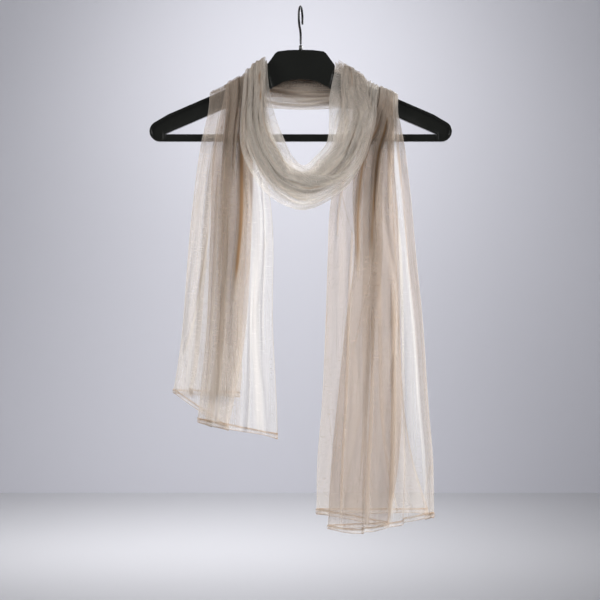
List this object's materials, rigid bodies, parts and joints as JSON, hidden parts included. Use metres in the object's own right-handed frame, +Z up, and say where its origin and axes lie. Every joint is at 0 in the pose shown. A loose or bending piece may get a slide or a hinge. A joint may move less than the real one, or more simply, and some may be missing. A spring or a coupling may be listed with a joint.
{
  "type": "gauze scarf on a hanger",
  "caption": "Long sheer gauze scarf, folded lengthwise and wound once round a clothes hanger's neck, with a cowl in front and two hanging ends of unequal length.",
  "frame": {"origin": "the underside of the hook's crown, where it rests on a rail", "axes": "+Z up, +X to the viewer's right along the hanger, the viewer and the cowl at -Y"},
  "size_m": [0.44, 0.0967, 0.766],
  "materials": {
    "gauze": "sheer crinkled cotton gauze, undyed beige",
    "hem": "the same gauze turned three layers thick and machine stitched",
    "plastic": "glossy black moulded plastic",
    "wire": "black coated steel wire"
  },
  "bodies": {
    "root": {"tail_left": "gauze", "back_under": "gauze", "cowl": "gauze", "back_over": "gauze", "tail_right": "gauze", "hem_left": "hem", "hem_right": "hem", "neck_block": "plastic", "arm_left": "plastic", "arm_right": "plastic", "trouser_bar": "plastic", "collar": "plastic", "hook": "wire"}
  },
  "joints": []
}
